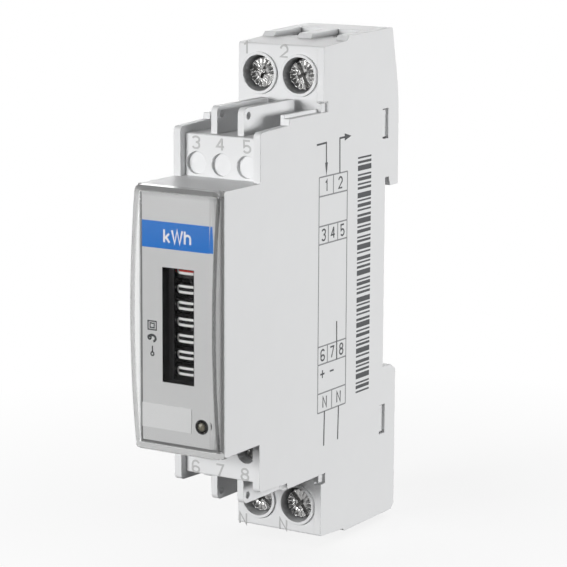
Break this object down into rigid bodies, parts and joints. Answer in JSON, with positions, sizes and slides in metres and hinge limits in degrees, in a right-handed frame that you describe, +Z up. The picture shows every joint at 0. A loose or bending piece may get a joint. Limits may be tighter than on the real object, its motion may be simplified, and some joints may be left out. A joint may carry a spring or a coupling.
{
  "type": "din rail energy meter",
  "caption": "Slim one-module rail-mounted energy meter with a clear bowed window, a drum counter, cage terminals and a sprung rail clip.",
  "frame": {"origin": "on the rail seat, level with the middle of the 45 mm front, half way across the module", "axes": "+Z up, +Y from the front towards the rail, +X to the viewer's right from the front"},
  "size_m": [0.0176, 0.0609, 0.0911],
  "materials": {
    "grey_shell": "fine matt moulding",
    "grey_cover": "fine matt moulding",
    "clip_plastic": "fine matt moulding",
    "clear_window": "polished clear",
    "label": "printed",
    "sticker": "paper label, satin",
    "lamp": "clear tinted",
    "black_frame": "matt",
    "black_drum": "satin",
    "red_drum": "satin",
    "white_gear": "satin",
    "steel_shaft": "ground",
    "motor_steel": "plain",
    "spring_steel": "plain",
    "nickel": "nickel plated",
    "copper_winding": "enamelled copper",
    "brass": "tinned edges, plain",
    "board": "solder resist",
    "capacitor": "sleeved can",
    "chip_black": "matt epoxy"
  },
  "bodies": {
    "case": {"housing_shell": "grey_shell", "side_cover": "grey_cover", "front_cover": "clear_window", "label_plate": "label", "blank_sticker": "sticker", "lamp_lens": "lamp", "counter_frame": "black_frame", "drum_shaft": "steel_shaft", "pinion_shaft": "steel_shaft", "motor_case": "motor_steel", "motor_coil": "copper_winding", "line_shunt": "brass", "neutral_link": "brass", "pulse_contacts": "brass", "clip_spring": "spring_steel", "circuit_board": "board", "main_capacitor": "capacitor", "small_capacitor": "capacitor", "metering_chip": "chip_black", "pulse_coupler": "chip_black"},
    "digit_drum_1": {"digit_drum_1": "red_drum"},
    "digit_drum_2": {"digit_drum_2": "black_drum"},
    "digit_drum_3": {"digit_drum_3": "black_drum"},
    "digit_drum_4": {"digit_drum_4": "black_drum"},
    "digit_drum_5": {"digit_drum_5": "black_drum"},
    "digit_drum_6": {"digit_drum_6": "black_drum"},
    "digit_drum_7": {"digit_drum_7": "black_drum"},
    "carry_pinion_1": {"carry_pinion_1": "white_gear"},
    "carry_pinion_2": {"carry_pinion_2": "white_gear"},
    "carry_pinion_3": {"carry_pinion_3": "white_gear"},
    "carry_pinion_4": {"carry_pinion_4": "white_gear"},
    "carry_pinion_5": {"carry_pinion_5": "white_gear"},
    "carry_pinion_6": {"carry_pinion_6": "white_gear"},
    "motor_gear": {"motor_gear": "white_gear"},
    "screw_line_in": {"screw_line_in": "nickel"},
    "cage_line_in": {"cage_line_in": "nickel"},
    "screw_line_out": {"screw_line_out": "nickel"},
    "cage_line_out": {"cage_line_out": "nickel"},
    "screw_neutral_left": {"screw_neutral_left": "nickel"},
    "cage_neutral_left": {"cage_neutral_left": "nickel"},
    "screw_neutral_right": {"screw_neutral_right": "nickel"},
    "cage_neutral_right": {"cage_neutral_right": "nickel"},
    "pulse_screw_6": {"pulse_screw_6": "nickel"},
    "pulse_cage_6": {"pulse_cage_6": "nickel"},
    "pulse_screw_7": {"pulse_screw_7": "nickel"},
    "pulse_cage_7": {"pulse_cage_7": "nickel"},
    "pulse_screw_8": {"pulse_screw_8": "nickel"},
    "pulse_cage_8": {"pulse_cage_8": "nickel"},
    "rail_clip": {"rail_clip": "clip_plastic"}
  },
  "joints": [
    {"name": "digit_drum_1_spin", "type": "hinge", "parent": "case", "child": "digit_drum_1", "pos_m": [0, -0.044, 0], "axis": [0, 0, 1], "continuous": true},
    {"name": "digit_drum_2_spin", "type": "hinge", "parent": "case", "child": "digit_drum_2", "pos_m": [0, -0.044, 0], "axis": [0, 0, 1], "continuous": true},
    {"name": "digit_drum_3_spin", "type": "hinge", "parent": "case", "child": "digit_drum_3", "pos_m": [0, -0.044, 0], "axis": [0, 0, 1], "continuous": true},
    {"name": "digit_drum_4_spin", "type": "hinge", "parent": "case", "child": "digit_drum_4", "pos_m": [0, -0.044, 0], "axis": [0, 0, 1], "continuous": true},
    {"name": "digit_drum_5_spin", "type": "hinge", "parent": "case", "child": "digit_drum_5", "pos_m": [0, -0.044, 0], "axis": [0, 0, 1], "continuous": true},
    {"name": "digit_drum_6_spin", "type": "hinge", "parent": "case", "child": "digit_drum_6", "pos_m": [0, -0.044, 0], "axis": [0, 0, 1], "continuous": true},
    {"name": "digit_drum_7_spin", "type": "hinge", "parent": "case", "child": "digit_drum_7", "pos_m": [0, -0.044, 0], "axis": [0, 0, 1], "continuous": true},
    {"name": "carry_pinion_1_spin", "type": "hinge", "parent": "case", "child": "carry_pinion_1", "pos_m": [0, -0.03658, 0], "axis": [0, 0, 1], "continuous": true},
    {"name": "carry_pinion_2_spin", "type": "hinge", "parent": "case", "child": "carry_pinion_2", "pos_m": [0, -0.03658, 0], "axis": [0, 0, 1], "continuous": true},
    {"name": "carry_pinion_3_spin", "type": "hinge", "parent": "case", "child": "carry_pinion_3", "pos_m": [0, -0.03658, 0], "axis": [0, 0, 1], "continuous": true},
    {"name": "carry_pinion_4_spin", "type": "hinge", "parent": "case", "child": "carry_pinion_4", "pos_m": [0, -0.03658, 0], "axis": [0, 0, 1], "continuous": true},
    {"name": "carry_pinion_5_spin", "type": "hinge", "parent": "case", "child": "carry_pinion_5", "pos_m": [0, -0.03658, 0], "axis": [0, 0, 1], "continuous": true},
    {"name": "carry_pinion_6_spin", "type": "hinge", "parent": "case", "child": "carry_pinion_6", "pos_m": [0, -0.03658, 0], "axis": [0, 0, 1], "continuous": true},
    {"name": "motor_gear_spin", "type": "hinge", "parent": "case", "child": "motor_gear", "pos_m": [0, -0.03658, 0], "axis": [0, 0, 1], "continuous": true},
    {"name": "screw_line_in_turn", "type": "hinge", "parent": "case", "child": "screw_line_in", "pos_m": [-0.0044, 0, 0.0386], "axis": [0, 1, 0], "range_deg": [0, 1440]},
    {"name": "cage_line_in_slide", "type": "slide", "parent": "case", "child": "cage_line_in", "axis": [0, -1, 0], "range_m": [0, 0.0028]},
    {"name": "screw_line_out_turn", "type": "hinge", "parent": "case", "child": "screw_line_out", "pos_m": [0.00385, 0, 0.0386], "axis": [0, 1, 0], "range_deg": [0, 1440]},
    {"name": "cage_line_out_slide", "type": "slide", "parent": "case", "child": "cage_line_out", "axis": [0, -1, 0], "range_m": [0, 0.0028]},
    {"name": "screw_neutral_left_turn", "type": "hinge", "parent": "case", "child": "screw_neutral_left", "pos_m": [-0.0044, 0, -0.0386], "axis": [0, 1, 0], "range_deg": [0, 1440]},
    {"name": "cage_neutral_left_slide", "type": "slide", "parent": "case", "child": "cage_neutral_left", "axis": [0, -1, 0], "range_m": [0, 0.0028]},
    {"name": "screw_neutral_right_turn", "type": "hinge", "parent": "case", "child": "screw_neutral_right", "pos_m": [0.00385, 0, -0.0386], "axis": [0, 1, 0], "range_deg": [0, 1440]},
    {"name": "cage_neutral_right_slide", "type": "slide", "parent": "case", "child": "cage_neutral_right", "axis": [0, -1, 0], "range_m": [0, 0.0028]},
    {"name": "pulse_screw_6_turn", "type": "hinge", "parent": "case", "child": "pulse_screw_6", "pos_m": [-0.00508, 0, -0.0248], "axis": [0, 1, 0], "range_deg": [0, 1120]},
    {"name": "pulse_cage_6_slide", "type": "slide", "parent": "case", "child": "pulse_cage_6", "axis": [0, -1, 0], "range_m": [0, 0.0014]},
    {"name": "pulse_screw_7_turn", "type": "hinge", "parent": "case", "child": "pulse_screw_7", "pos_m": [0, 0, -0.0248], "axis": [0, 1, 0], "range_deg": [0, 1120]},
    {"name": "pulse_cage_7_slide", "type": "slide", "parent": "case", "child": "pulse_cage_7", "axis": [0, -1, 0], "range_m": [0, 0.0014]},
    {"name": "pulse_screw_8_turn", "type": "hinge", "parent": "case", "child": "pulse_screw_8", "pos_m": [0.00508, 0, -0.0248], "axis": [0, 1, 0], "range_deg": [0, 1120]},
    {"name": "pulse_cage_8_slide", "type": "slide", "parent": "case", "child": "pulse_cage_8", "axis": [0, -1, 0], "range_m": [0, 0.0014]},
    {"name": "rail_clip_slide", "type": "slide", "parent": "case", "child": "rail_clip", "axis": [0, 0, -1], "range_m": [0, 0.0035], "stiffness_N_per_m": 800, "springref_m": -0.002, "deforming": ["clip_spring"]}
  ],
  "couplings": [
    {"joint": "digit_drum_2_spin", "follows": "digit_drum_1_spin", "ratio": 0.1},
    {"joint": "digit_drum_3_spin", "follows": "digit_drum_1_spin", "ratio": 0.01},
    {"joint": "digit_drum_4_spin", "follows": "digit_drum_1_spin", "ratio": 0.001},
    {"joint": "digit_drum_5_spin", "follows": "digit_drum_1_spin", "ratio": 0.0001},
    {"joint": "digit_drum_6_spin", "follows": "digit_drum_1_spin", "ratio": 0.00001},
    {"joint": "digit_drum_7_spin", "follows": "digit_drum_1_spin", "ratio": 0.000001},
    {"joint": "carry_pinion_1_spin", "follows": "digit_drum_1_spin", "ratio": -0.25},
    {"joint": "carry_pinion_2_spin", "follows": "digit_drum_1_spin", "ratio": -0.025},
    {"joint": "carry_pinion_3_spin", "follows": "digit_drum_1_spin", "ratio": -0.0025},
    {"joint": "carry_pinion_4_spin", "follows": "digit_drum_1_spin", "ratio": -0.00025},
    {"joint": "carry_pinion_5_spin", "follows": "digit_drum_1_spin", "ratio": -0.000025},
    {"joint": "carry_pinion_6_spin", "follows": "digit_drum_1_spin", "ratio": -0.0000025},
    {"joint": "motor_gear_spin", "follows": "digit_drum_1_spin", "ratio": -2.5},
    {"joint": "screw_line_in_turn", "follows": "cage_line_in_slide", "rad_per_m": 8975.8},
    {"joint": "screw_line_out_turn", "follows": "cage_line_out_slide", "rad_per_m": 8975.8},
    {"joint": "screw_neutral_left_turn", "follows": "cage_neutral_left_slide", "rad_per_m": 8975.8},
    {"joint": "screw_neutral_right_turn", "follows": "cage_neutral_right_slide", "rad_per_m": 8975.8},
    {"joint": "pulse_screw_6_turn", "follows": "pulse_cage_6_slide", "rad_per_m": 13960},
    {"joint": "pulse_screw_7_turn", "follows": "pulse_cage_7_slide", "rad_per_m": 13960},
    {"joint": "pulse_screw_8_turn", "follows": "pulse_cage_8_slide", "rad_per_m": 13960}
  ]
}
